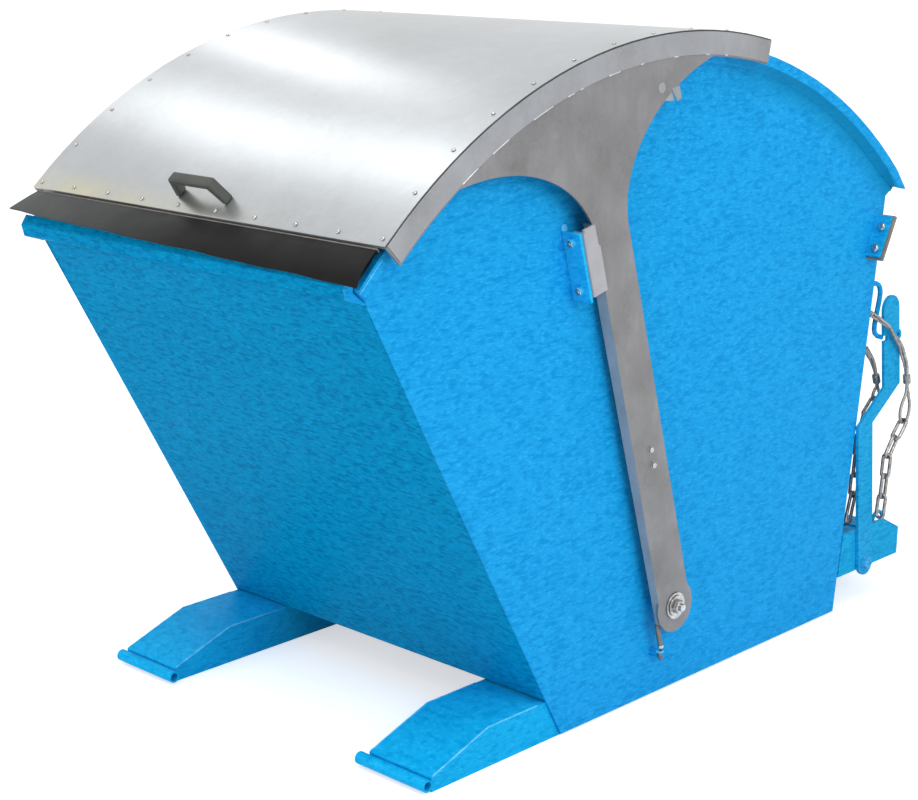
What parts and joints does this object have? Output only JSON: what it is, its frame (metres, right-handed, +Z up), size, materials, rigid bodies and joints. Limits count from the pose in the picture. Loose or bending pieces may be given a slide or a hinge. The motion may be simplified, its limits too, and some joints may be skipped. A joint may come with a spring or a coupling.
{
  "type": "tipping bin",
  "caption": "Steel tipping bin on fork pockets with a curved sliding lid, anchor-shaped lid arms, a release lever, and ropes and chains at the rear.",
  "frame": {"origin": "middle of the footprint at the ground, under the middle of the whole bin's box", "axes": "+Z up, the sloping front panel faces -Y, +X is the bin's side with the release lever"},
  "size_m": [1.2132, 1.9444, 1.519],
  "materials": {
    "blue_paint": "satin",
    "dark_blue_paint": "satin",
    "zinc_sheet": "galvanised",
    "grey_steel": "galvanised",
    "bright_zinc": "zinc plated",
    "rope_steel": "weathered",
    "dark_rubber": "matte",
    "buffer_rubber": "matte",
    "handle_grey": "moulded"
  },
  "bodies": {
    "base": {"left_fork_pocket": "blue_paint", "right_fork_pocket": "blue_paint", "left_nose_tube": "blue_paint", "right_nose_tube": "blue_paint", "left_frame_beam": "blue_paint", "right_frame_beam": "blue_paint", "rear_crossmember": "blue_paint", "left_frame_cheek": "blue_paint", "right_frame_cheek": "blue_paint", "left_tilt_lug": "blue_paint", "right_tilt_lug": "blue_paint", "left_tilt_pin": "grey_steel", "right_tilt_pin": "grey_steel", "lever_bolt": "bright_zinc", "tow_ring": "blue_paint", "ring_link": "bright_zinc"},
    "bin": {"left_side_plate": "blue_paint", "right_side_plate": "blue_paint", "front_panel": "dark_blue_paint", "floor_panel": "dark_blue_paint", "rear_panel": "dark_blue_paint", "rear_hood": "blue_paint", "front_rim": "blue_paint", "left_arc_rim": "blue_paint", "right_arc_rim": "blue_paint", "left_bin_lug": "blue_paint", "right_bin_lug": "blue_paint", "catch_staple": "blue_paint", "left_front_stop": "blue_paint", "right_front_stop": "blue_paint", "left_front_buffer": "buffer_rubber", "right_front_buffer": "buffer_rubber", "left_rear_stop": "blue_paint", "right_rear_stop": "blue_paint", "left_rear_buffer": "buffer_rubber", "right_rear_buffer": "buffer_rubber", "left_pivot_stub": "blue_paint", "right_pivot_stub": "blue_paint", "left_pivot_nut": "bright_zinc", "right_pivot_nut": "bright_zinc", "rope_anchor": "grey_steel", "release_rope": "rope_steel", "release_ferrule": "bright_zinc", "release_chain": "rope_steel", "safety_rope": "rope_steel", "safety_ferrule": "bright_zinc", "safety_chain": "rope_steel", "snap_hook": "rope_steel"},
    "lid": {"lid_sheet": "zinc_sheet", "left_lid_arm": "grey_steel", "right_lid_arm": "grey_steel", "front_apron": "dark_rubber", "lid_handle": "handle_grey", "front_edge_angle": "grey_steel", "left_edge_flange": "grey_steel", "right_edge_flange": "grey_steel", "left_assist_rod": "grey_steel", "right_assist_rod": "grey_steel"},
    "lever": {"release_lever": "blue_paint"}
  },
  "joints": [
    {"name": "body_tip", "type": "hinge", "parent": "base", "child": "bin", "pos_m": [0, -0.39378, 0.135], "axis": [1, 0, 0], "range_deg": [0, 60]},
    {"name": "lid_swing", "type": "hinge", "parent": "bin", "child": "lid", "pos_m": [0, -0.02178, 0.225], "axis": [-1, 0, 0], "range_deg": [0, 47]},
    {"name": "lever_release", "type": "hinge", "parent": "base", "child": "lever", "pos_m": [0.5418, 0.80722, 0.105], "axis": [-1, 0, 0], "range_deg": [0, 20]}
  ]
}
